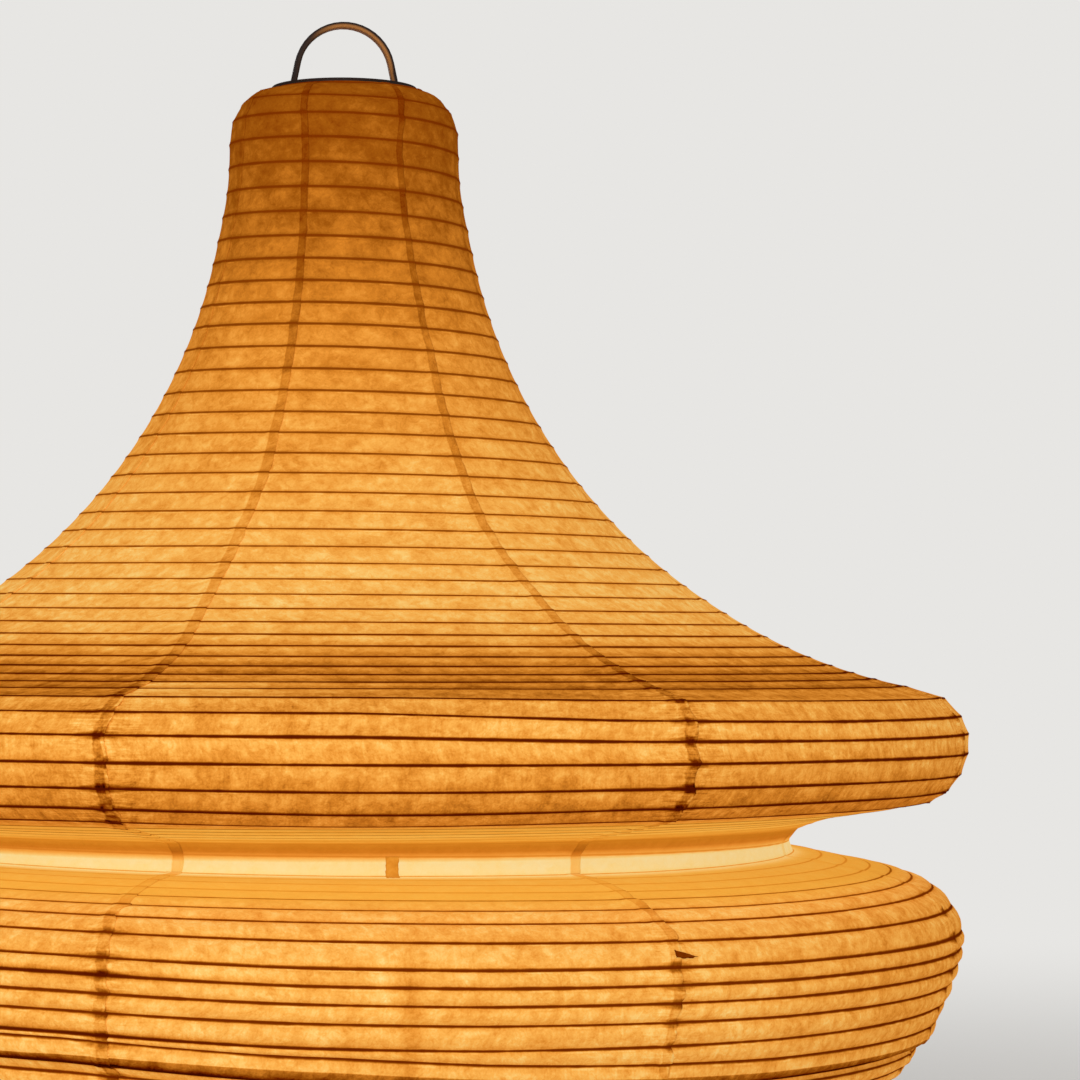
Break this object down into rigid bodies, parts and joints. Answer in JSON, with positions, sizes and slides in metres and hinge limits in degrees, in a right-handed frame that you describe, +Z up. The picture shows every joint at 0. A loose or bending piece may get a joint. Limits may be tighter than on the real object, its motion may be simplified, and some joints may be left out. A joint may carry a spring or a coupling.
{
  "type": "andon floor lamp",
  "caption": "Two-tier paper lantern lamp: a tall bell neck over a wide flange and a bowl, on bamboo ribs, stretched over a flat-bar frame with a loop handle.",
  "frame": {"origin": "on the floor, on the lamp's vertical axis, under the middle of the four feet", "axes": "+Z up along the shade's axis; the carrying handle lies in the XZ plane; -Y is the front"},
  "size_m": [0.5392, 0.5392, 0.555],
  "materials": {
    "paper": "warm white washi paper with long fibres, lit from inside",
    "bamboo": "split bamboo, smoked",
    "ring_metal": "dark satin paint",
    "frame_metal": "dark bronze satin paint",
    "rubber": "matte",
    "plated_steel": "zinc plated",
    "black_plastic": "moulded, satin",
    "ceramic": "unglazed white",
    "brass": "satin",
    "cap_metal": "rolled thread",
    "bulb_glass": "frosted inside",
    "filament": "glowing phosphor"
  },
  "bodies": {
    "frame": {"handle_bar": "frame_metal", "front_strap": "frame_metal", "rear_strap": "frame_metal", "crown_plate": "frame_metal", "base_ring": "frame_metal", "base_plate": "frame_metal", "bottom_ring_seats": "frame_metal", "crown_rivets": "frame_metal", "base_rivets": "frame_metal", "feet": "rubber", "stem_tube": "plated_steel", "stem_lower_nut": "plated_steel", "stem_washer": "plated_steel", "stem_upper_nut": "plated_steel", "holder_under_nut": "plated_steel", "holder_nut": "plated_steel", "terminal_screws": "plated_steel", "cord_gland": "black_plastic", "holder_cap": "black_plastic", "holder_shell": "black_plastic", "holder_ring": "black_plastic", "ceramic_insert": "ceramic", "thread_shell": "brass", "centre_contact": "brass"},
    "shade": {"paper_panel_1": "paper", "paper_panel_2": "paper", "paper_panel_3": "paper", "paper_panel_4": "paper", "paper_panel_5": "paper", "paper_panel_6": "paper", "paper_panel_7": "paper", "paper_panel_8": "paper", "neck_ribs": "bamboo", "bell_ribs": "bamboo", "flange_ribs": "bamboo", "underside_ribs": "bamboo", "waist_ribs": "bamboo", "tier_ribs": "bamboo", "bowl_ribs": "bamboo", "top_ring": "ring_metal"},
    "shade_foot": {"bottom_ring": "ring_metal"},
    "bulb": {"bulb_tip": "brass", "bulb_insulator": "ceramic", "bulb_cap": "cap_metal", "bulb_globe": "bulb_glass", "bulb_stem": "bulb_glass", "bulb_filaments": "filament"}
  },
  "joints": [
    {"name": "shade_lift", "type": "slide", "parent": "frame", "child": "shade", "axis": [0, 0, 1], "range_m": [0, 0.52]},
    {"name": "shade_fold", "type": "slide", "parent": "shade", "child": "shade_foot", "axis": [0, 0, 1], "range_m": [0, 0.4], "deforming": ["paper_panel_1", "paper_panel_2", "paper_panel_3", "paper_panel_4", "paper_panel_5", "paper_panel_6", "paper_panel_7", "paper_panel_8", "neck_ribs", "bell_ribs", "flange_ribs", "underside_ribs", "waist_ribs", "tier_ribs", "bowl_ribs"]},
    {"name": "bulb_out", "type": "slide", "parent": "frame", "child": "bulb", "axis": [0, 0, 1], "range_m": [0, 0.06]}
  ]
}
